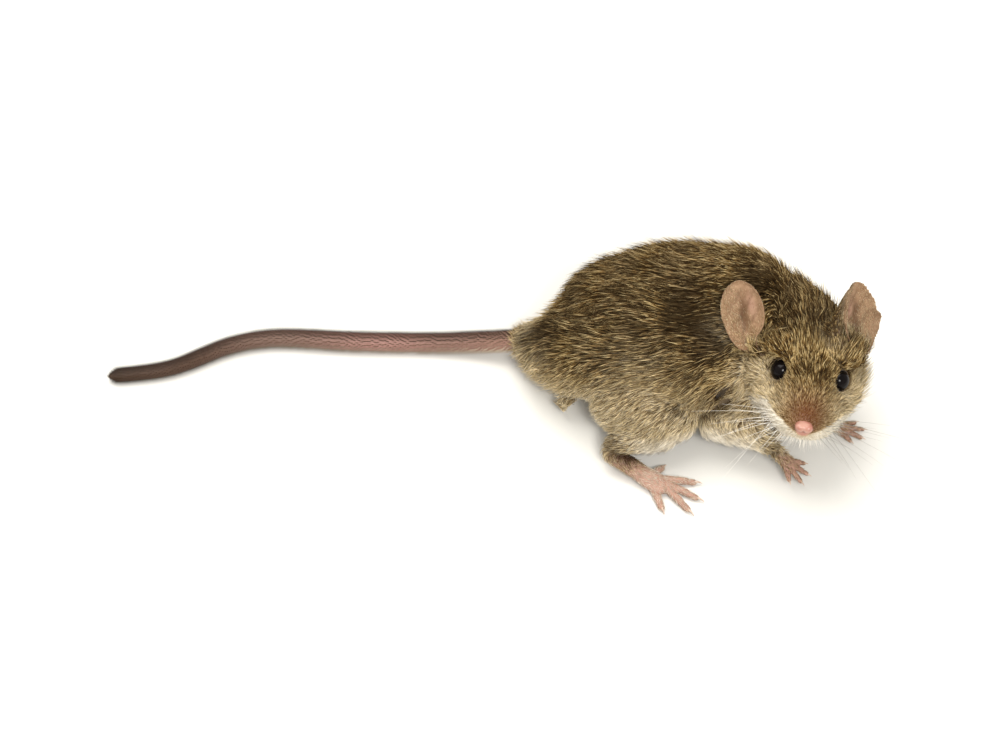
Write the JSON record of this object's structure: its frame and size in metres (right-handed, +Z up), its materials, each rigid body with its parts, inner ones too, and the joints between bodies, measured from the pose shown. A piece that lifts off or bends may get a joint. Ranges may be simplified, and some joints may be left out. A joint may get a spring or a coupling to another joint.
{
  "type": "house mouse",
  "caption": "Life-size still model of a crouching grey house mouse, head turned to its right, right forepaw lifted and tail trailing, for display on a flat surface.",
  "frame": {"origin": "middle of the footprint of the whole animal, on the floor under its soles", "axes": "+X from the tip of the tail towards the chest, +Z up; the head faces -Y"},
  "size_m": [0.1246, 0.0474, 0.0303],
  "materials": {
    "coat": "short soft ticked fur, grey-brown above and cream-buff below",
    "bare_skin": "pinkish-brown skin with sparse fine hair",
    "ear_skin": "thin tan-pink skin with very fine down",
    "tail_skin": "ringed scaly skin, pinkish at the root and dark brown at the tip",
    "eye": "wet glossy black"
  },
  "bodies": {
    "root": {"head": "coat", "neck": "coat", "trunk": "coat", "foreleg_left": "coat", "foreleg_right": "coat", "hind_leg_left": "coat", "hind_leg_right": "coat", "forepaw_left": "bare_skin", "forepaw_right": "bare_skin", "hind_foot_left": "bare_skin", "hind_foot_right": "bare_skin", "ear_left": "ear_skin", "ear_right": "ear_skin", "eye_left": "eye", "eye_right": "eye", "tail_1": "tail_skin", "tail_2": "tail_skin", "tail_3": "tail_skin", "tail_4": "tail_skin", "tail_5": "tail_skin"}
  },
  "joints": []
}
